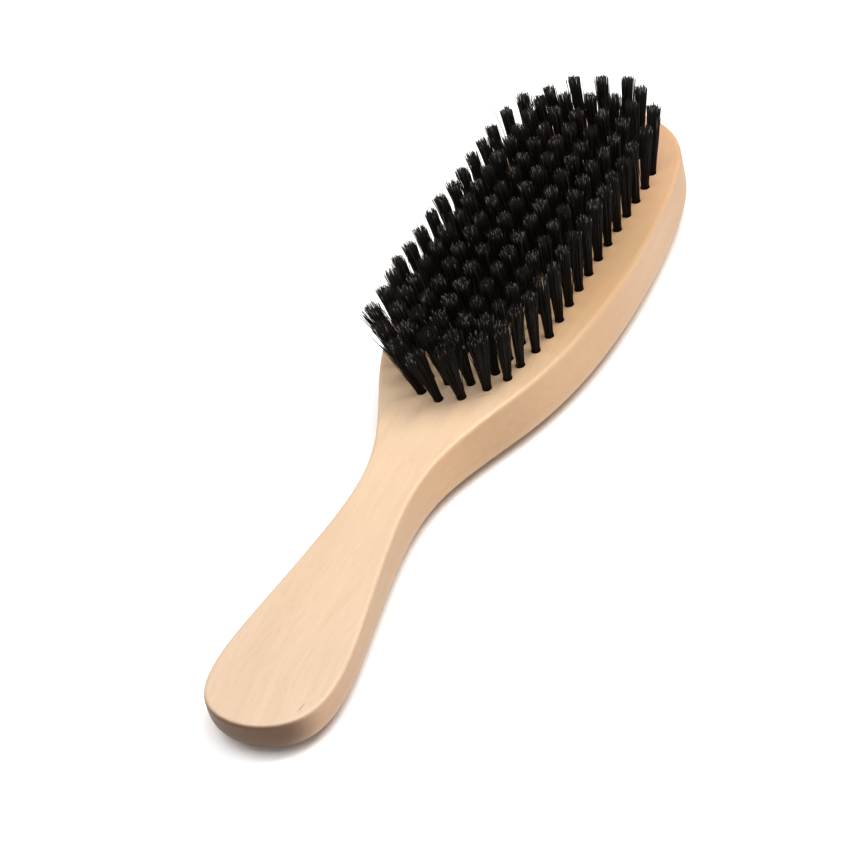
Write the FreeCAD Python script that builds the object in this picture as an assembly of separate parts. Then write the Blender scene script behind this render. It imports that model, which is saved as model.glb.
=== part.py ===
import FreeCAD, Part
import math, os

V = FreeCAD.Vector

# Clothes brush.  Millimetres, +Z up.  The brush lies on its flat back with the
# bristles up: the back is the plane Z = 0, X runs along the brush from the
# handle (-X) to the head (+X), and Y = 0 is its plane of symmetry.
# The origin is the middle of the footprint.

# ---- board -----------------------------------------------------------------
LENGTH = 228.0               # handle end to head end
X0 = -LENGTH / 2.0           # X of the handle end
TOP_ROUND = 1.1              # rounding of the edge around the bristle face
BACK_ROUND = 7.2             # rounding of the edge around the back

# outline: (distance from the handle end, half width)
OUTLINE = [(1.0, 6.04), (2.5, 9.15), (5.0, 12.03), (8.0, 13.95), (12.0, 15.21),
           (16.0, 15.65), (20.0, 15.61), (26.0, 15.01), (34.0, 13.71),
           (42.0, 12.21), (50.0, 10.73), (58.0, 9.38), (66.0, 8.25),
           (74.0, 7.69), (82.0, 8.08), (90.0, 9.80), (98.0, 12.74),
           (106.0, 16.28), (114.0, 19.75), (122.0, 22.52), (130.0, 24.54),
           (140.0, 26.18), (150.0, 27.08), (160.0, 27.41), (170.0, 27.27),
           (180.0, 26.72), (190.0, 25.75), (198.0, 24.65), (205.0, 23.10),
           (210.0, 21.45), (214.0, 19.60), (218.0, 17.00), (221.0, 14.35),
           (223.5, 11.40), (225.5, 8.30), (227.0, 4.95)]

# thickness of the board: (distance from the handle end, height of the face)
FACE = [(-6.0, 10.20), (0.0, 10.40), (16.0, 10.95), (34.0, 11.90),
        (58.0, 13.42), (82.0, 14.90), (106.0, 16.05), (130.0, 16.72),
        (160.0, 16.90), (190.0, 16.52), (210.0, 15.98), (221.0, 15.45),
        (228.0, 15.05), (234.0, 14.70)]

# ---- tufts -----------------------------------------------------------------
TUFT_HEIGHT = 17.7           # tips above the face
HOLE_R = 1.22                # drilled hole
HOLE_DEPTH = 8.0             # straight wall of the hole, along its axis
DRILL_POINT = 118.0          # included angle of the drill's point, degrees
TUFT_R = 1.18                # bundle where it is held in the hole
TIP_R = 1.72                 # bundle spread at the tips
ROW_PITCH = 5.88             # across the head, between rows
TUFT_PITCH = 6.18            # along a row
FIELD_MID = 158.0            # middle of the tufted field from the handle end
FIELD_SHIFT = 0.7            # the whole field is set this much further forward

# lean of the straight part of each row, as the tip's shift from its root:
# (forward at the middle, more forward per millimetre along, sideways).
# Rows are numbered from the middle, + to the left, - to the right.
FAN = {-3: (-0.7, 0.008, -2.1), -2: (-0.1, 0.015, -1.2), -1: (-0.6, 0.045, -0.3),
       0: (-0.6, 0.060, 0.6), 1: (-1.2, 0.035, 1.0), 2: (0.0, 0.025, 1.8),
       3: (1.2, 0.012, 2.4)}

# roots in each row, counted from the middle row outwards
# (distance from the handle end, distance from the centre line, and, for the
# tufts at the row ends, the tip's own shift: forward and outward on the left,
# forward and outward on the right)
def straight(first, count, y):
    return [(first + TUFT_PITCH * i, y, None, None) for i in range(count)]

ROWS = [
    [(105.5, 0.0, (-5.0, 0.3), None), (111.6, 0.0, (-3.4, 0.4), None)]
    + straight(117.7, 14, 0.0)
    + [(204.2, 0.0, (3.6, 0.4), None), (210.3, 0.0, (5.8, 0.2), None)],
    [(107.2, 5.35, (-4.4, 1.6), (-4.4, 0.8)), (112.4, 5.50, (-2.9, 1.3), (-3.4, 0.2)),
     (117.8, 5.80, (-2.2, 1.1), (-2.3, 0.2))]
    + straight(123.9, 12, ROW_PITCH)
    + [(198.0, 5.88, (2.0, 0.9), (2.4, 0.3)), (203.9, 5.85, (3.2, 1.2), (4.2, 0.6)),
       (209.6, 5.65, (4.8, 1.8), (7.0, 1.0))],
    [(111.4, 10.20, (-2.4, 3.2), (-3.2, 2.2)), (117.1, 9.95, (-0.6, 2.8), (-1.9, 1.5)),
     (122.5, 11.10, (0.2, 2.3), (-0.9, 1.3))]
    + straight(128.6, 11, 2 * ROW_PITCH)
    + [(196.4, 11.70, (1.4, 1.6), (1.4, 1.1)), (201.9, 11.45, (2.0, 1.6), (3.4, 1.0)),
       (206.9, 10.90, (2.2, 1.5), (5.8, 0.8))],
    [(115.7, 13.75, (-0.9, 4.9), (-1.9, 2.8)), (120.8, 14.90, (1.4, 4.3), (-0.8, 2.4)),
     (126.6, 16.50, (1.6, 3.1), (-0.6, 2.0)), (132.4, 17.55, (1.3, 2.8), (-0.6, 1.4))]
    + straight(138.5, 9, 3 * ROW_PITCH)
    + [(194.1, 17.60, (3.2, 1.7), (1.4, 2.4)), (200.3, 16.90, (4.1, 0.8), (4.6, 1.6))],
]

# ---- anchors ---------------------------------------------------------------
ANCHOR_W = 2.34              # cut length of the wire, wall to wall of the hole
ANCHOR_T = 0.40              # thickness of the flat wire
ANCHOR_H = 1.40              # height of the flat wire
ANCHOR_UP = 1.55             # wire's lower edge above the bottom of the bundle
GAP = 0.02                   # clearance around the anchor

os.makedirs("parts", exist_ok=True)


def face_height(d):
    # height of the bristle face at distance d from the handle end
    lo, hi = 0.0, 1.0
    a, b = FACE_CURVE.FirstParameter, FACE_CURVE.LastParameter
    for _ in range(50):
        m = 0.5 * (a + b)
        if FACE_CURVE.value(m).x < X0 + d:
            a = m
        else:
            b = m
    return FACE_CURVE.value(0.5 * (a + b)).z


FACE_CURVE = Part.BSplineCurve()
FACE_CURVE.interpolate([V(X0 + d, 0, z) for d, z in FACE])


def make_blank():
    # sawn outline, stood up to more than full thickness
    right = [V(X0 + d, -w, 0) for d, w in OUTLINE]
    left = [V(X0 + d, w, 0) for d, w in reversed(OUTLINE)]
    pts = [V(X0, 0, 0)] + right + [V(X0 + LENGTH, 0, 0)] + left
    c = Part.BSplineCurve()
    c.interpolate(pts, PeriodicFlag=True)
    blank = Part.Face(Part.Wire([c.toShape()])).extrude(V(0, 0, 30))
    # bristle face: one curve along the brush, straight across it
    e = FACE_CURVE.toShape()
    a, b = FACE_CURVE.StartPoint, FACE_CURVE.EndPoint
    w = Part.Wire([e, Part.makeLine(b, V(b.x, 0, 40)),
                   Part.makeLine(V(b.x, 0, 40), V(a.x, 0, 40)),
                   Part.makeLine(V(a.x, 0, 40), a)])
    waste = Part.Face(w).extrude(V(0, 100, 0))
    waste.translate(V(0, -50, 0))
    return blank.cut(waste)


def rounded(board):
    back = []
    for e in board.Edges:
        if e.Length < 50:
            continue
        zs = [e.valueAt(e.FirstParameter + (e.LastParameter - e.FirstParameter) * k / 12.0).z
              for k in range(13)]
        if max(zs) < 0.01:
            back.append(e)
    board = board.makeFillet(BACK_ROUND, back)
    top = []
    for e in board.Edges:
        if e.Length < 50:
            continue
        zs = [e.valueAt(e.FirstParameter + (e.LastParameter - e.FirstParameter) * k / 12.0).z
              for k in range(13)]
        ds = [e.valueAt(e.FirstParameter + (e.LastParameter - e.FirstParameter) * k / 12.0).x - X0
              for k in range(13)]
        if all(abs(z - face_height(d)) < 0.02 for z, d in zip(zs, ds)):
            top.append(e)
    return board.makeFillet(TOP_ROUND, top)


def tufts():
    # every tuft: root on the face, unit axis, unit wire direction, column
    out = []
    for k, row in enumerate(ROWS):
        for d, y, on_left, on_right in row:
            for side in ((1, -1) if k else (1,)):
                if on_left is None:
                    start, gain, dy = FAN[k * side]
                    dx = start + gain * (d - FIELD_MID)
                else:
                    dx, dy = on_left if side > 0 else on_right
                    dy = dy * side
                x = d + FIELD_SHIFT
                root = V(X0 + x, side * y, face_height(x))
                axis = V(dx, dy, TUFT_HEIGHT)
                axis.normalize()
                # the anchor wire lies across the head, square to the axis
                wire = V(0, 1, 0) - axis * axis.y
                wire.normalize()
                col = int(round((d - ROWS[0][0][0]) / TUFT_PITCH))
                out.append((root, axis, wire, min(col, 17), k * side, TUFT_HEIGHT / axis.z))
    return out


def placed(shape, root, axis, wire):
    # local Z on the axis, local X along the anchor wire
    side = axis.cross(wire)
    m = FreeCAD.Matrix(wire.x, side.x, axis.x, root.x,
                       wire.y, side.y, axis.y, root.y,
                       wire.z, side.z, axis.z, root.z,
                       0, 0, 0, 1)
    s = shape.copy()
    s.Placement = FreeCAD.Placement(m)
    return s


def turned(points):
    # solid of revolution about local Z from (r, z) points
    w = Part.makePolygon([V(r, 0, z) for r, z in points + points[:1]])
    return Part.Face(w).revolve(V(0, 0, 0), V(0, 0, 1), 360)


def hole_tool():
    point = HOLE_R / math.tan(math.radians(DRILL_POINT / 2))
    return turned([(0, -HOLE_DEPTH - point), (HOLE_R, -HOLE_DEPTH),
                   (HOLE_R, 4.0), (0, 4.0)])


def tuft_solid(length):
    # folded bundle: round fold at the bottom, held straight in the hole,
    # spreading to a slightly domed, trimmed top; slit where the anchor sits
    z0 = -HOLE_DEPTH + 0.05
    body = turned([(0, z0), (0.50, z0 + 0.10), (0.90, z0 + 0.38), (TUFT_R, z0 + 0.95),
                   (TUFT_R, 0.4), (TUFT_R + 0.04, 2.5), (TUFT_R + 0.22, 9.0),
                   (TIP_R, length - 0.45), (TIP_R - 0.30, length - 0.08),
                   (TIP_R - 0.9, length), (0, length)])
    slit = Part.makeBox(4.0, ANCHOR_T + 2 * GAP, ANCHOR_H + 2 * GAP,
                        V(-2.0, -ANCHOR_T / 2 - GAP, -HOLE_DEPTH + ANCHOR_UP - GAP))
    return body.cut(slit)


def anchor_solid():
    return Part.makeBox(ANCHOR_W, ANCHOR_T, ANCHOR_H,
                        V(-ANCHOR_W / 2, -ANCHOR_T / 2, -HOLE_DEPTH + ANCHOR_UP))


TUFTS = tufts()

# the holes are drilled in the square-edged blank, then the edges are rounded
tool = hole_tool()
tools = [placed(tool, r, a, w) for r, a, w, c, k, n in TUFTS]
board = rounded(make_blank().cut(Part.makeCompound(tools)))
board = board.Solids[0] if len(board.Solids) == 1 else board
board.exportStep("parts/board.step")

cols = sorted(set(t[3] for t in TUFTS))
anchor = anchor_solid()
for c in cols:
    mine = sorted([t for t in TUFTS if t[3] == c], key=lambda t: t[4])
    name = "%02d" % (c + 1)
    Part.makeCompound([placed(tuft_solid(n), r, a, w)
                       for r, a, w, _, k, n in mine]).exportStep("parts/tuft_row_%s.step" % name)
    Part.makeCompound([placed(anchor, r, a, w)
                       for r, a, w, _, k, n in mine]).exportStep("parts/anchor_row_%s.step" % name)

print("tufts", len(TUFTS), "columns", len(cols))
print("board volume", round(board.Volume, 1), "valid", board.isValid(), "faces", len(board.Faces))
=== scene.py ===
import bpy, math, random
import numpy as np
from mathutils import Vector, Matrix


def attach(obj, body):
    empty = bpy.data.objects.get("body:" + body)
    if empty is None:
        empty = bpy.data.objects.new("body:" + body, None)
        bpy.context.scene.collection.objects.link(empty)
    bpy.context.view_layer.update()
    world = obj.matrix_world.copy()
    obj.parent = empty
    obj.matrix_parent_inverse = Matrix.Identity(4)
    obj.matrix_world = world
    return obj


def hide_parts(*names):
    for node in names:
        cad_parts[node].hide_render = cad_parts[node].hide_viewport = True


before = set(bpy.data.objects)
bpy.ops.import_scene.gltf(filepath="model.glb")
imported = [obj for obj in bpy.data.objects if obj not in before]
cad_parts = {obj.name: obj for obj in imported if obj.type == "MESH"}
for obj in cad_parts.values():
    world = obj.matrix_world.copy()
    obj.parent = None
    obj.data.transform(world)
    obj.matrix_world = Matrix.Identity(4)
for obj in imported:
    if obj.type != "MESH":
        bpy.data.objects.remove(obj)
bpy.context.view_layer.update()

MM = 0.001
LENGTH = 228.0
X0 = -LENGTH / 2

# ---------------------------------------------------------------- tuft layout
# the same drilling pattern as the CAD part, in millimetres from the handle end
TUFT_HEIGHT = 17.7
HOLE_R, TUFT_R, TIP_R = 1.22, 1.18, 1.72
ROW_PITCH = 5.88 
TUFT_PITCH = 6.18 
FIELD_MID = 158.0 
FIELD_SHIFT = 0.7 

# lean of the straight part of each row, as the tip's shift from its root:
# (forward at the middle, more forward per millimetre along, sideways).
# Rows are numbered from the middle, + to the left, - to the right.
FAN = {-3: (-0.7, 0.008, -2.1), -2: (-0.1, 0.015, -1.2), -1: (-0.6, 0.045, -0.3),
       0: (-0.6, 0.060, 0.6), 1: (-1.2, 0.035, 1.0), 2: (0.0, 0.025, 1.8),
       3: (1.2, 0.012, 2.4)}

# roots in each row, counted from the middle row outwards
# (distance from the handle end, distance from the centre line, and, for the
# tufts at the row ends, the tip's own shift: forward and outward on the left,
# forward and outward on the right)
def straight(first, count, y):
    return [(first + TUFT_PITCH * i, y, None, None) for i in range(count)]

ROWS = [
    [(105.5, 0.0, (-5.0, 0.3), None), (111.6, 0.0, (-3.4, 0.4), None)]
    + straight(117.7, 14, 0.0)
    + [(204.2, 0.0, (3.6, 0.4), None), (210.3, 0.0, (5.8, 0.2), None)],
    [(107.2, 5.35, (-4.4, 1.6), (-4.4, 0.8)), (112.4, 5.50, (-2.9, 1.3), (-3.4, 0.2)),
     (117.8, 5.80, (-2.2, 1.1), (-2.3, 0.2))]
    + straight(123.9, 12, ROW_PITCH)
    + [(198.0, 5.88, (2.0, 0.9), (2.4, 0.3)), (203.9, 5.85, (3.2, 1.2), (4.2, 0.6)),
       (209.6, 5.65, (4.8, 1.8), (7.0, 1.0))],
    [(111.4, 10.20, (-2.4, 3.2), (-3.2, 2.2)), (117.1, 9.95, (-0.6, 2.8), (-1.9, 1.5)),
     (122.5, 11.10, (0.2, 2.3), (-0.9, 1.3))]
    + straight(128.6, 11, 2 * ROW_PITCH)
    + [(196.4, 11.70, (1.4, 1.6), (1.4, 1.1)), (201.9, 11.45, (2.0, 1.6), (3.4, 1.0)),
       (206.9, 10.90, (2.2, 1.5), (5.8, 0.8))],
    [(115.7, 13.75, (-0.9, 4.9), (-1.9, 2.8)), (120.8, 14.90, (1.4, 4.3), (-0.8, 2.4)),
     (126.6, 16.50, (1.6, 3.1), (-0.6, 2.0)), (132.4, 17.55, (1.3, 2.8), (-0.6, 1.4))]
    + straight(138.5, 9, 3 * ROW_PITCH)
    + [(194.1, 17.60, (3.2, 1.7), (1.4, 2.4)), (200.3, 16.90, (4.1, 0.8), (4.6, 1.6))],
]

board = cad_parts["board"]
bco = np.array([v.co for v in board.data.vertices]) * 1000.0
top_pts = bco[(np.abs(bco[:, 1]) < 30) & (bco[:, 2] > 9.0)]
# height of the bristle face along the board, read off the CAD mesh's highest points
_bins = np.arange(X0, -X0 + 0.01, 6.0)


def face_height(x):
    near = bco[np.abs(bco[:, 0] - x) < 9.0]
    hi = near[near[:, 2] > near[:, 2].max() - 0.9]
    # a straight line through the rim of the face near here
    if len(hi) < 6 or np.ptp(hi[:, 0]) < 2:
        return float(near[:, 2].max())
    k = np.polyfit(hi[:, 0], hi[:, 2], 1)
    up = hi[hi[:, 2] > np.polyval(k, hi[:, 0]) - 0.05]
    return float(np.polyval(np.polyfit(up[:, 0], up[:, 2], 1), x))


def tuft_list():
    out = []
    for k, row in enumerate(ROWS):
        for d, y, on_left, on_right in row:
            for side in ((1, -1) if k else (1,)):
                if on_left is None:
                    start, gain, dy = FAN[k * side]
                    dx = start + gain * (d - FIELD_MID)
                else:
                    dx, dy = on_left if side > 0 else on_right
                    dy = dy * side
                x = X0 + d + FIELD_SHIFT
                root = np.array([x, side * y, face_height(x)])
                axis = np.array([dx, dy, TUFT_HEIGHT])
                axis /= np.linalg.norm(axis)
                wire = np.array([0, 1.0, 0]) - axis * axis[1]
                wire /= np.linalg.norm(wire)
                col = min(int(round((d - ROWS[0][0][0]) / TUFT_PITCH)), 17)
                out.append(dict(root=root, axis=axis, wire=wire, side=np.cross(axis, wire),
                                col=col, row=k * side, n=TUFT_HEIGHT / float(axis[2]), d=d))
    return out


TUFTS = tuft_list()


# ---------------------------------------------------------------- node helpers
def new_mat(name):
    m = bpy.data.materials.new(name)
    m.use_nodes = True
    nt = m.node_tree
    nt.nodes.clear()
    out = nt.nodes.new("ShaderNodeOutputMaterial")
    p = nt.nodes.new("ShaderNodeBsdfPrincipled")
    nt.links.new(p.outputs[0], out.inputs[0])
    return m, nt, p


def N(nt, kind, **kw):
    n = nt.nodes.new(kind)
    for k, v in kw.items():
        if k in n.inputs:
            n.inputs[k].default_value = v
        else:
            setattr(n, k, v)
    return n


def srgb(r, g, b):
    f = lambda c: c / 12.92 if c <= 0.04045 else ((c + 0.055) / 1.055) ** 2.4
    return (f(r), f(g), f(b), 1.0)


def ramp(nt, stops, interp="LINEAR"):
    r = nt.nodes.new("ShaderNodeValToRGB")
    r.color_ramp.interpolation = interp
    e = r.color_ramp.elements
    while len(e) > 1:
        e.remove(e[-1])
    e[0].position, e[0].color = stops[0]
    for pos, col in stops[1:]:
        q = e.new(pos)
        q.color = col
    return r


# ---------------------------------------------------------------- wood
def wood_material():
    m, nt, p = new_mat("beech_wood")
    L = nt.links.new
    tc = N(nt, "ShaderNodeTexCoord")
    # coordinates in centimetres, stretched along the grain (X)
    mp = N(nt, "ShaderNodeMapping")
    mp.inputs["Scale"].default_value = (100, 100, 100)
    L(tc.outputs["Object"], mp.inputs["Vector"])
    wob = N(nt, "ShaderNodeTexNoise", Scale=0.22, Detail=2.0)
    L(mp.outputs[0], wob.inputs["Vector"])
    wsub = N(nt, "ShaderNodeVectorMath", operation="SUBTRACT")
    wsub.inputs[1].default_value = (0.5, 0.5, 0.5)
    L(wob.outputs["Color"], wsub.inputs[0])
    wsc = N(nt, "ShaderNodeVectorMath", operation="MULTIPLY")
    wsc.inputs[1].default_value = (0.0, 0.9, 0.9)
    L(wsub.outputs[0], wsc.inputs[0])
    wadd = N(nt, "ShaderNodeVectorMath", operation="ADD")
    L(mp.outputs[0], wadd.inputs[0])
    L(wsc.outputs[0], wadd.inputs[1])

    def stretched(sx, sy, sz):
        q = N(nt, "ShaderNodeMapping")
        q.inputs["Scale"].default_value = (sx, sy, sz)
        L(wadd.outputs[0], q.inputs["Vector"])
        return q

    # broad soft growth figure
    q1 = stretched(0.10, 0.9, 0.9)
    figure = N(nt, "ShaderNodeTexNoise", Scale=1.0, Detail=4.0, Roughness=0.55)
    L(q1.outputs[0], figure.inputs["Vector"])
    # fine streaks
    q2 = stretched(0.35, 11.0, 11.0)
    streak = N(nt, "ShaderNodeTexNoise", Scale=1.0, Detail=5.0, Roughness=0.62)
    L(q2.outputs[0], streak.inputs["Vector"])
    # beech flecks: short thin dark rays along the grain
    q3 = stretched(2.6, 34.0, 34.0)
    fleck = N(nt, "ShaderNodeTexNoise", Scale=1.0, Detail=2.0, Roughness=0.5)
    L(q3.outputs[0], fleck.inputs["Vector"])
    fr = ramp(nt, [(0.0, (0, 0, 0, 1)), (0.62, (0, 0, 0, 1)), (0.74, (1, 1, 1, 1))])
    L(fleck.outputs["Fac"], fr.inputs[0])

    base = ramp(nt, [(0.25, srgb(0.745, 0.634, 0.522)), (0.50, srgb(0.763, 0.655, 0.544)),
                     (0.75, srgb(0.780, 0.675, 0.568))])
    L(figure.outputs["Fac"], base.inputs[0])
    st = ramp(nt, [(0.30, srgb(0.68, 0.56, 0.445)), (0.62, srgb(0.795, 0.69, 0.58))])
    L(streak.outputs["Fac"], st.inputs[0])
    mix1 = N(nt, "ShaderNodeMix", data_type="RGBA", blend_type="MIX")
    mix1.inputs[0].default_value = 0.20
    L(base.outputs[0], mix1.inputs[6])
    L(st.outputs[0], mix1.inputs[7])
    mix2 = N(nt, "ShaderNodeMix", data_type="RGBA", blend_type="MULTIPLY")
    fsc = N(nt, "ShaderNodeMath", operation="MULTIPLY")
    fsc.inputs[1].default_value = 0.16
    L(fr.outputs[0], fsc.inputs[0])
    L(fsc.outputs[0], mix2.inputs[0])
    L(mix1.outputs[2], mix2.inputs[6])
    mix2.inputs[7].default_value = srgb(0.76, 0.60, 0.45)

    # a painted shade line along the crease where the neck meets the head, and small natural flaws: a
    # short line and a pore
    def flaw_and_shade_line(cx, cy, cz, half, width, ang, strength):
        """a soft dark line on the surface round a point, in metres"""
        pos = N(nt, "ShaderNodeVectorMath", operation="SUBTRACT")
        pos.inputs[1].default_value = (cx, cy, cz)
        L(tc.outputs["Object"], pos.inputs[0])
        rot = N(nt, "ShaderNodeVectorRotate", rotation_type="Z_AXIS")
        rot.inputs["Angle"].default_value = ang
        L(pos.outputs[0], rot.inputs["Vector"])
        nz = N(nt, "ShaderNodeTexNoise", Scale=420.0, Detail=2.0)
        L(tc.outputs["Object"], nz.inputs["Vector"])
        sh = N(nt, "ShaderNodeVectorMath", operation="MULTIPLY_ADD")
        sh.inputs[1].default_value = (0, 0.0016, 0)
        L(nz.outputs["Color"], sh.inputs[0])
        L(rot.outputs[0], sh.inputs[2])
        sc = N(nt, "ShaderNodeVectorMath", operation="MULTIPLY")
        sc.inputs[1].default_value = (1 / half, 1 / width, 1 / 0.004)
        L(sh.outputs[0], sc.inputs[0])
        ln = N(nt, "ShaderNodeVectorMath", operation="LENGTH")
        L(sc.outputs[0], ln.inputs[0])
        mr = N(nt, "ShaderNodeMapRange")
        mr.interpolation_type = "SMOOTHSTEP"
        mr.inputs["From Min"].default_value = 0.35
        mr.inputs["From Max"].default_value = 1.0
        mr.inputs["To Min"].default_value = strength
        mr.inputs["To Max"].default_value = 0.0
        L(ln.outputs["Value"], mr.inputs["Value"])
        return mr.outputs[0]

    flaw_and_shade_lines = [flaw_and_shade_line(*f) for f in FLAWS_AND_SHADE_LINES]
    flaw_and_shade_mask = flaw_and_shade_lines[0]
    for f in flaw_and_shade_lines[1:]:
        a = N(nt, "ShaderNodeMath", operation="MAXIMUM")
        L(flaw_and_shade_mask, a.inputs[0])
        L(f, a.inputs[1])
        flaw_and_shade_mask = a.outputs[0]
    mix3 = N(nt, "ShaderNodeMix", data_type="RGBA", blend_type="MIX")
    L(flaw_and_shade_mask, mix3.inputs[0])
    L(mix2.outputs[2], mix3.inputs[6])
    mix3.inputs[7].default_value = srgb(0.50, 0.37, 0.28)

    # painted highlight: convex edges, by pointiness, are mixed towards a lighter wood colour; the
    # drilled holes keep the plain colour
    geo = N(nt, "ShaderNodeNewGeometry")
    edge_highlight = N(nt, "ShaderNodeMapRange")
    edge_highlight.inputs["From Min"].default_value = 0.505
    edge_highlight.inputs["From Max"].default_value = 0.56
    edge_highlight.inputs["To Min"].default_value = 0.0
    edge_highlight.inputs["To Max"].default_value = 0.28
    L(geo.outputs["Pointiness"], edge_highlight.inputs["Value"])
    mix4 = N(nt, "ShaderNodeMix", data_type="RGBA", blend_type="MIX")
    L(edge_highlight.outputs[0], mix4.inputs[0])
    L(mix3.outputs[2], mix4.inputs[6])
    mix4.inputs[7].default_value = srgb(0.76, 0.675, 0.585)

    # painted shade: the board is darker and warmer round the tufts, where the bristles shade it, and
    # paler towards the handle; the sides get less of it
    sx = N(nt, "ShaderNodeSeparateXYZ")
    L(tc.outputs["Object"], sx.inputs[0])
    gx = N(nt, "ShaderNodeMapRange")
    gx.interpolation_type = "SMOOTHSTEP"
    gx.inputs["From Min"].default_value = -0.008
    gx.inputs["From Max"].default_value = 0.038
    L(sx.outputs["X"], gx.inputs["Value"])
    nrm = N(nt, "ShaderNodeSeparateXYZ")
    L(geo.outputs["Normal"], nrm.inputs[0])
    sg = N(nt, "ShaderNodeMapRange")
    sg.interpolation_type = "SMOOTHSTEP"
    sg.inputs["From Min"].default_value = 0.90
    sg.inputs["From Max"].default_value = 0.35
    L(nrm.outputs["Z"], sg.inputs["Value"])
    keep = N(nt, "ShaderNodeMath", operation="MULTIPLY_ADD")
    keep.inputs[1].default_value = -0.65
    keep.inputs[2].default_value = 1.0
    L(sg.outputs[0], keep.inputs[0])
    tuft_shade = N(nt, "ShaderNodeMath", operation="MULTIPLY")
    L(gx.outputs[0], tuft_shade.inputs[0])
    L(keep.outputs[0], tuft_shade.inputs[1])
    mix5 = N(nt, "ShaderNodeMix", data_type="RGBA", blend_type="MULTIPLY")
    L(tuft_shade.outputs[0], mix5.inputs[0])
    L(mix4.outputs[2], mix5.inputs[6])
    mix5.inputs[7].default_value = (0.90, 0.77, 0.62, 1)

    # painted shade: faces turned towards the handle end (-X) are multiplied strongly darker brown
    end_shade = N(nt, "ShaderNodeMapRange")
    end_shade.interpolation_type = "SMOOTHSTEP"
    end_shade.inputs["From Min"].default_value = -0.25
    end_shade.inputs["From Max"].default_value = -0.90
    end_shade.inputs["To Min"].default_value = 0.0
    end_shade.inputs["To Max"].default_value = 0.92
    L(nrm.outputs["X"], end_shade.inputs["Value"])
    mix6 = N(nt, "ShaderNodeMix", data_type="RGBA", blend_type="MULTIPLY")
    L(end_shade.outputs[0], mix6.inputs[0])
    L(mix5.outputs[2], mix6.inputs[6])
    mix6.inputs[7].default_value = (0.18, 0.13, 0.09, 1)

    # side walls are multiplied darker and warmer than the face: partly a warmer side-grain tone, partly
    # painted shade
    mix7 = N(nt, "ShaderNodeMix", data_type="RGBA", blend_type="MULTIPLY")
    L(sg.outputs[0], mix7.inputs[0])
    L(mix6.outputs[2], mix7.inputs[6])
    mix7.inputs[7].default_value = (0.88, 0.80, 0.71, 1)

    # slow change of tone along the plank, on the face and on the sides, partly painted light and shade:
    # a brighter neck face, darker sides at the handle, lighter sides towards the far end
    along = N(nt, "ShaderNodeMapRange")
    along.inputs["From Min"].default_value = -0.12
    along.inputs["From Max"].default_value = 0.12
    L(sx.outputs["X"], along.inputs["Value"])
    tone_and_light_ramp = lambda stops: ramp(nt, [(q, (r / 1.4, g / 1.4, b / 1.4, 1)) for q, r, g, b in stops], "EASE")
    face_tone_and_light = tone_and_light_ramp([(0.096, 0.97, 1.00, 1.07), (0.229, 1.00, 1.02, 1.05), (0.390, 1.07, 1.08, 1.09),
                      (0.425, 1.11, 1.11, 1.09), (0.520, 1.01, 0.98, 0.91), (0.721, 0.90, 0.90, 0.87),
                      (0.896, 1.14, 1.12, 1.19)])
    side_tone_and_light = tone_and_light_ramp([(0.083, 0.88, 0.86, 0.91), (0.220, 0.89, 0.89, 0.92), (0.420, 1.01, 0.98, 0.92),
                      (0.583, 1.03, 1.02, 1.00), (0.758, 1.07, 1.13, 1.22), (0.900, 1.02, 1.02, 1.05)])
    both = N(nt, "ShaderNodeMix", data_type="RGBA", blend_type="MIX")
    L(along.outputs[0], face_tone_and_light.inputs[0])
    L(along.outputs[0], side_tone_and_light.inputs[0])
    L(sg.outputs[0], both.inputs[0])
    L(face_tone_and_light.outputs[0], both.inputs[6])
    L(side_tone_and_light.outputs[0], both.inputs[7])
    toned = N(nt, "ShaderNodeVectorMath", operation="MULTIPLY")
    L(mix7.outputs[2], toned.inputs[0])
    L(both.outputs[2], toned.inputs[1])
    toned2 = N(nt, "ShaderNodeVectorMath", operation="SCALE")
    toned2.inputs["Scale"].default_value = 1.4
    L(toned.outputs[0], toned2.inputs[0])
    L(toned2.outputs[0], p.inputs["Base Color"])

    rr = N(nt, "ShaderNodeMapRange")
    rr.inputs["To Min"].default_value = 0.40
    rr.inputs["To Max"].default_value = 0.56
    L(streak.outputs["Fac"], rr.inputs["Value"])
    L(rr.outputs[0], p.inputs["Roughness"])
    p.inputs["Specular IOR Level"].default_value = 0.26
    p.inputs["Coat Weight"].default_value = 0.02
    p.inputs["Coat Roughness"].default_value = 0.35
    p.inputs["Subsurface Weight"].default_value = 0.0

    b1 = N(nt, "ShaderNodeBump", Strength=0.10, Distance=0.0002)
    L(streak.outputs["Fac"], b1.inputs["Height"])
    b2 = N(nt, "ShaderNodeBump", Strength=0.35, Distance=0.0003, invert=True)
    L(flaw_and_shade_mask, b2.inputs["Height"])
    L(b1.outputs[0], b2.inputs["Normal"])
    b3 = N(nt, "ShaderNodeBump", Strength=0.08, Distance=0.0001, invert=True)
    L(fr.outputs[0], b3.inputs["Height"])
    L(b2.outputs[0], b3.inputs["Normal"])
    L(b3.outputs[0], p.inputs["Normal"])
    return m


# x, y, z (m), half length, half width, angle about Z, strength
FLAWS_AND_SHADE_LINES = [
    # painted shade: this first line is a soft dark line along the crease where the neck meets the
    # head's face
    (-0.0040, -0.0100, 0.0161, 0.0026, 0.00035, 0.9, 0.55),
    (-0.1058, -0.0100, 0.0108, 0.0018, 0.0003, 0.2, 0.50),
    (-0.1119, -0.0106, 0.0104, 0.0009, 0.0005, 0.4, 0.45),
]


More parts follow.
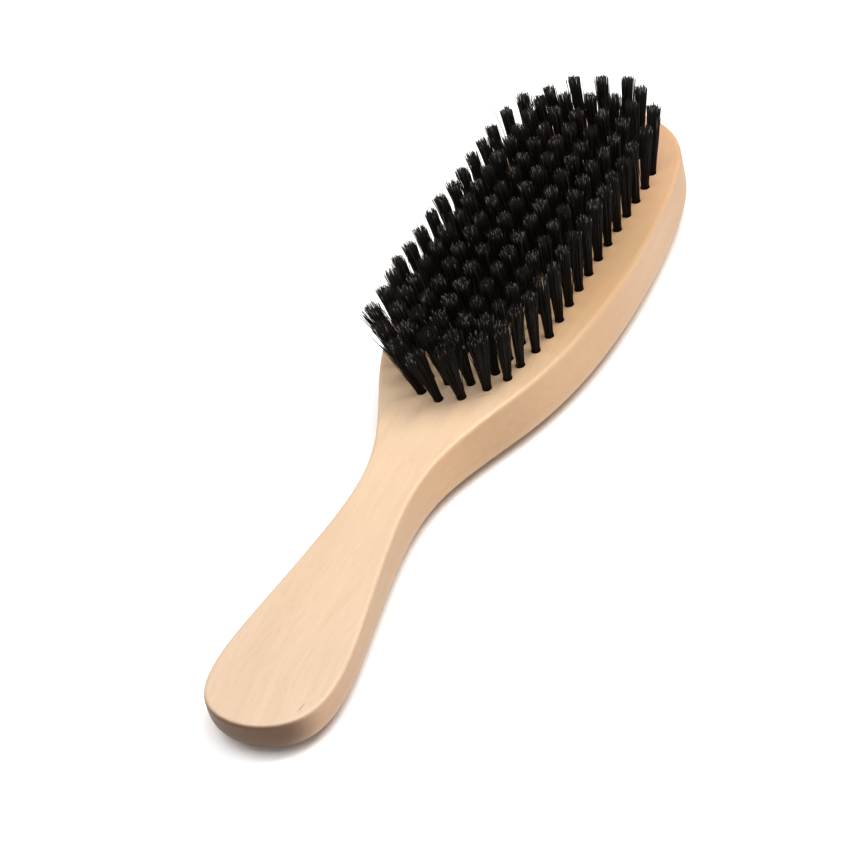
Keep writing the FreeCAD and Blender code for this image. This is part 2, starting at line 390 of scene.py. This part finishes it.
# ---------------------------------------------------------------- bristle
def bristle_material():
    m, nt, p = new_mat("black_bristle")
    L = nt.links.new
    at = N(nt, "ShaderNodeAttribute", attribute_name="strand")
    sep = N(nt, "ShaderNodeSeparateColor")
    L(at.outputs["Color"], sep.inputs[0])
    # R: place along the strand, G: this strand's own shade, B: how strong the painted glint on its tip
    # is
    body = ramp(nt, [(0.0, srgb(0.046, 0.038, 0.036)), (0.55, srgb(0.066, 0.055, 0.051)),
                     (0.86, srgb(0.105, 0.080, 0.068)), (0.97, srgb(0.21, 0.155, 0.11)),
                     (1.0, srgb(0.33, 0.25, 0.17))])
    L(sep.outputs[1], body.inputs[0])
    tip_glint_ramp = ramp(nt, [(0.0, (0, 0, 0, 1)), (0.90, (0, 0, 0, 1)), (0.97, (1, 1, 1, 1))])
    L(sep.outputs[0], tip_glint_ramp.inputs[0])
    mul = N(nt, "ShaderNodeMath", operation="MULTIPLY")
    L(tip_glint_ramp.outputs[0], mul.inputs[0])
    L(sep.outputs[2], mul.inputs[1])
    mix = N(nt, "ShaderNodeMix", data_type="RGBA", blend_type="MIX")
    L(mul.outputs[0], mix.inputs[0])
    L(body.outputs[0], mix.inputs[6])
    # painted glint: the light grey that the marked tips are mixed towards
    mix.inputs[7].default_value = srgb(0.44, 0.415, 0.395)
    # fine mottling along the hair
    tc = N(nt, "ShaderNodeTexCoord")
    nz = N(nt, "ShaderNodeTexNoise", Scale=900.0, Detail=2.0)
    L(tc.outputs["Object"], nz.inputs["Vector"])
    mr = N(nt, "ShaderNodeMapRange")
    mr.inputs["To Min"].default_value = 0.75
    mr.inputs["To Max"].default_value = 1.25
    L(nz.outputs["Fac"], mr.inputs["Value"])
    mm = N(nt, "ShaderNodeVectorMath", operation="SCALE")
    L(mix.outputs[2], mm.inputs[0])
    L(mr.outputs[0], mm.inputs["Scale"])
    L(mm.outputs[0], p.inputs["Base Color"])
    rr = N(nt, "ShaderNodeMapRange")
    rr.inputs["To Min"].default_value = 0.48
    rr.inputs["To Max"].default_value = 0.62
    L(nz.outputs["Fac"], rr.inputs["Value"])
    L(rr.outputs[0], p.inputs["Roughness"])
    p.inputs["Specular IOR Level"].default_value = 0.10
    bp = N(nt, "ShaderNodeBump", Strength=0.15, Distance=0.00005)
    L(nz.outputs["Fac"], bp.inputs["Height"])
    L(bp.outputs[0], p.inputs["Normal"])
    return m


def wire_material():
    m, nt, p = new_mat("anchor_wire")
    L = nt.links.new
    tc = N(nt, "ShaderNodeTexCoord")
    mp = N(nt, "ShaderNodeMapping")
    mp.inputs["Scale"].default_value = (3000, 300, 3000)
    L(tc.outputs["Object"], mp.inputs["Vector"])
    nz = N(nt, "ShaderNodeTexNoise", Scale=1.0, Detail=3.0)
    L(mp.outputs[0], nz.inputs["Vector"])
    r = ramp(nt, [(0.3, srgb(0.60, 0.58, 0.54)), (0.7, srgb(0.78, 0.77, 0.74))])
    L(nz.outputs["Fac"], r.inputs[0])
    L(r.outputs[0], p.inputs["Base Color"])
    p.inputs["Metallic"].default_value = 1.0
    rr = N(nt, "ShaderNodeMapRange")
    rr.inputs["To Min"].default_value = 0.25
    rr.inputs["To Max"].default_value = 0.45
    L(nz.outputs["Fac"], rr.inputs["Value"])
    L(rr.outputs[0], p.inputs["Roughness"])
    return m


WOOD, BRISTLE, WIRE = wood_material(), bristle_material(), wire_material()


# ---------------------------------------------------------------- strands
SIDES, RINGS = 4, 6
PER_TUFT = 112


def strands_of(t, rng):
    """centre lines, radii and shade of every bristle of one tuft"""
    count = int(PER_TUFT * rng.uniform(0.94, 1.06))
    out = []
    golden = math.pi * (3 - math.sqrt(5))
    lean_a = rng.uniform(0, 2 * math.pi)
    lean = rng.uniform(0.0, 0.40)             # the whole bundle's own small set
    lean_v = np.array([math.cos(lean_a), math.sin(lean_a)]) * lean
    squash = rng.uniform(0.86, 1.0)           # the fold makes a bundle a little oval
    cut = rng.uniform(-0.25, 0.15)            # its own trimmed height
    spread = rng.uniform(0.96, 1.14)
    worn = min(1.0, max(0.0, (127.0 - t["d"]) / 14.0))   # the handle end of the field is worn open
    spread *= 1 + 0.42 * worn
    splay = {3: -0.50, 2: -0.25}.get(t["row"], 0.0)   # outer bundles curve outwards
    # the painted glints on the cut ends come in patches, more in some bundles than in others
    mark = np.random.default_rng(5000 + 97 * t["col"] + 13 * (t["row"] + 4) + int(t["d"]))
    rarity = mark.uniform(0.70, 0.90)
    mark_a = mark.uniform(0, 2 * math.pi)
    for i in range(count):
        q = math.sqrt((i + 0.5) / count)
        a = i * golden + rng.uniform(-0.3, 0.3)
        u = np.array([math.cos(a) * squash, math.sin(a)])
        r0 = (HOLE_R - 0.16) * q
        stray = rng.random()
        r1 = r0 * (TIP_R + 0.06) / (HOLE_R - 0.16) * spread * rng.uniform(0.84, 1.14)
        bow = rng.normal(0, 0.12, 2)
        end = u * r1 + lean_v + rng.normal(0, 0.17, 2)
        length = t["n"] + cut + rng.normal(-0.02, 0.34) - 0.25 * q ** 4
        if stray > 0.984 - 0.02 * worn:
            end = end + u * rng.uniform(0.8, 2.2)
            length -= rng.uniform(0.0, 1.2)
        elif stray < 0.05:
            length -= rng.uniform(0.5, 2.5)
        start = -2.2
        pts, rad = [], []
        R = rng.uniform(0.088, 0.118)
        for k in range(RINGS):
            s = k / (RINGS - 1)
            z = start + (length - start) * s
            g = max(0.0, (z - 0.3) / (t["n"] - 0.3))
            w = g * (0.72 + 0.28 * g)
            off = u * r0 * (1 - w) + end * w + bow * math.sin(math.pi * min(g, 1))
            off = off + np.array([splay * math.sin(math.pi * min(g, 1)), 0])
            if z < 0.3:
                off = u * r0
            pts.append(t["root"] + t["axis"] * z + t["wire"] * off[0] + t["side"] * off[1])
            rad.append(R * (1.0 if s < 0.7 else 1.0 - 0.30 * (s - 0.7) / 0.3))
        shade = rng.random()
        tip_glint = rng.random() - 0.08 * (1 - math.cos(a - mark_a)) * q
        out.append((pts, rad, 0.93 + 0.07 * rng.random() if shade > 0.987 else shade * 0.85,
                    0.45 + 0.55 * rng.random() if tip_glint > rarity else 0.05 * max(tip_glint, 0.0)))
    return out


def build_strands(name, lines):
    nv = SIDES * RINGS + 1
    verts = np.zeros((len(lines) * nv, 3))
    cols = np.zeros((len(lines) * nv, 4), np.float32)
    faces = []
    ang = np.arange(SIDES) * 2 * math.pi / SIDES
    for li, (pts, rad, shade, tip_glint) in enumerate(lines):
        P = np.array(pts)
        o = li * nv
        T = np.gradient(P, axis=0)
        T /= np.linalg.norm(T, axis=1, keepdims=True)
        ref = np.array([1.0, 0.13, 0.0])
        A = np.cross(T, ref)
        A /= np.linalg.norm(A, axis=1, keepdims=True)
        B = np.cross(T, A)
        tw = (li * 0.7) % (2 * math.pi)
        for k in range(RINGS):
            ring = P[k] + rad[k] * (np.cos(ang + tw)[:, None] * A[k] + np.sin(ang + tw)[:, None] * B[k])
            verts[o + k * SIDES:o + (k + 1) * SIDES] = ring
            cols[o + k * SIDES:o + (k + 1) * SIDES] = (k / (RINGS - 1) * 0.97, shade, tip_glint, 1)
        tipz = P[-1] + T[-1] * rad[-1] * 0.3
        verts[o + nv - 1] = tipz
        cols[o + nv - 1] = (1.0, shade, tip_glint, 1)
        for k in range(RINGS - 1):
            for j in range(SIDES):
                a, b = o + k * SIDES + j, o + k * SIDES + (j + 1) % SIDES
                faces.append((a, b, b + SIDES, a + SIDES))
        k = RINGS - 1
        for j in range(SIDES):
            faces.append((o + k * SIDES + j, o + k * SIDES + (j + 1) % SIDES, o + nv - 1))
        faces.append(tuple(o + j for j in reversed(range(SIDES))))
    me = bpy.data.meshes.new(name)
    me.from_pydata((verts * MM).tolist(), [], faces)
    ca = me.color_attributes.new("strand", "FLOAT_COLOR", "POINT")
    ca.data.foreach_set("color", cols.ravel())
    me.polygons.foreach_set("use_smooth", [len(f.vertices) == 4 and f.index % 25 < 20
                                           for f in me.polygons])
    me.update()
    ob = bpy.data.objects.new(name, me)
    bpy.context.scene.collection.objects.link(ob)
    return ob


for c in sorted({t["col"] for t in TUFTS}):
    mine = sorted([t for t in TUFTS if t["col"] == c], key=lambda t: (t["row"], t["d"]))
    lines = []
    for t in mine:
        rng = np.random.default_rng(1000 * (c + 1) + 10 * (t["row"] + 5) + int(t["d"]) % 10)
        lines += strands_of(t, rng)
    name = "bristles_%02d" % (c + 1)
    ob = build_strands(name, lines)
    ob.data.materials.append(BRISTLE)
    node = "tuft_row_%02d" % (c + 1)
    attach(ob, "root")
    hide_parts(node)

# ---------------------------------------------------------------- carried-over nodes
for name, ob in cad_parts.items():
    if name == "board":
        mat = WOOD
    elif name.startswith("anchor"):
        mat = WIRE
    else:
        mat = BRISTLE
    ob.data.materials.clear()
    ob.data.materials.append(mat)

# ---------------------------------------------------------------- floor, light, camera
def floor():
    s = 3.0
    me = bpy.data.meshes.new("floor")
    me.from_pydata([(-s, -s, 0), (s, -s, 0), (s, s, 0), (-s, s, 0)], [], [(0, 1, 2, 3)])
    ob = bpy.data.objects.new("floor", me)
    ob.location.z = -0.0002
    bpy.context.scene.collection.objects.link(ob)
    m, nt, p = new_mat("floor")
    p.inputs["Base Color"].default_value = (0.95, 0.95, 0.95, 1)
    p.inputs["Roughness"].default_value = 0.9
    p.inputs["Specular IOR Level"].default_value = 0.0
    me.materials.append(m)
    return ob


floor()


def area(name, loc, target, size, power, color=(1, 1, 1)):
    l = bpy.data.lights.new(name, "AREA")
    l.shape = "RECTANGLE"
    l.size, l.size_y = size
    l.energy = power
    l.color = color
    o = bpy.data.objects.new(name, l)
    o.location = loc
    o.rotation_mode = "QUATERNION"
    o.rotation_quaternion = (Vector(target) - Vector(loc)).to_track_quat("-Z", "Y")
    bpy.context.scene.collection.objects.link(o)
    return o


# camera solved on the outline: a long lens, from above the handle's right side
AZ, EL, ROLL = -0.99784, 0.660805, -0.237603
F_PX, SC = 3292.31, 4.11515
CX, CY = 474.767, 414.408
fw = Vector((-math.sin(AZ) * math.cos(EL), math.cos(AZ) * math.cos(EL), -math.sin(EL)))
right = Vector((math.cos(AZ), math.sin(AZ), 0))
up = right.cross(fw)
c_, s_ = math.cos(ROLL), math.sin(ROLL)
r2 = c_ * right + s_ * up
u2 = -s_ * right + c_ * up
eye = Vector((6.0, 0, 0)) - fw * (F_PX / SC)
cam_data = bpy.data.cameras.new("camera")
cam_data.sensor_width = 36.0
cam_data.lens = F_PX / 860.0 * 36.0
cam_data.shift_x = (430.0 - CX) / 860.0
cam_data.shift_y = (CY - 430.0) / 860.0
cam_data.clip_start, cam_data.clip_end = 0.01, 20.0
cam = bpy.data.objects.new("camera", cam_data)
cam.rotation_mode = "QUATERNION"
M3 = Matrix((r2, u2, -fw)).transposed()
cam.rotation_quaternion = M3.to_quaternion()
cam.location = eye * MM
bpy.context.scene.collection.objects.link(cam)
bpy.context.scene.camera = cam

# picture directions on the table: used only to place the lamps
R_ = Vector((r2.x, r2.y, 0)).normalized()          # towards the picture's right
B_ = Vector((fw.x, fw.y, 0)).normalized()          # away from the viewer
key = R_ * 0.55 + B_ * 0.05 + Vector((0, 0, 1.05))
area("key", key, (0.0, 0, 0.01), (0.60, 0.60), 10.5, (1.0, 0.975, 0.94))
fill = -R_ * 0.7 + B_ * 0.1 + Vector((0, 0, 0.9))
area("fill", fill, (0, 0, 0.01), (0.9, 0.9), 1.2, (0.97, 0.98, 1.0))
top = Vector((-0.30, -0.12, 1.05))
area("top", top, (0, 0, 0), (0.8, 0.8), 9.4)

w = bpy.data.worlds.new("studio")
bpy.context.scene.world = w
w.use_nodes = True
bg = w.node_tree.nodes["Background"]
bg.inputs[0].default_value = (1, 1, 1, 1)
bg.inputs[1].default_value = 0.42
bpy.context.scene.view_settings.view_transform = "Standard"
bpy.context.scene.view_settings.look = "None"
bpy.context.scene.view_settings.exposure = 0.0
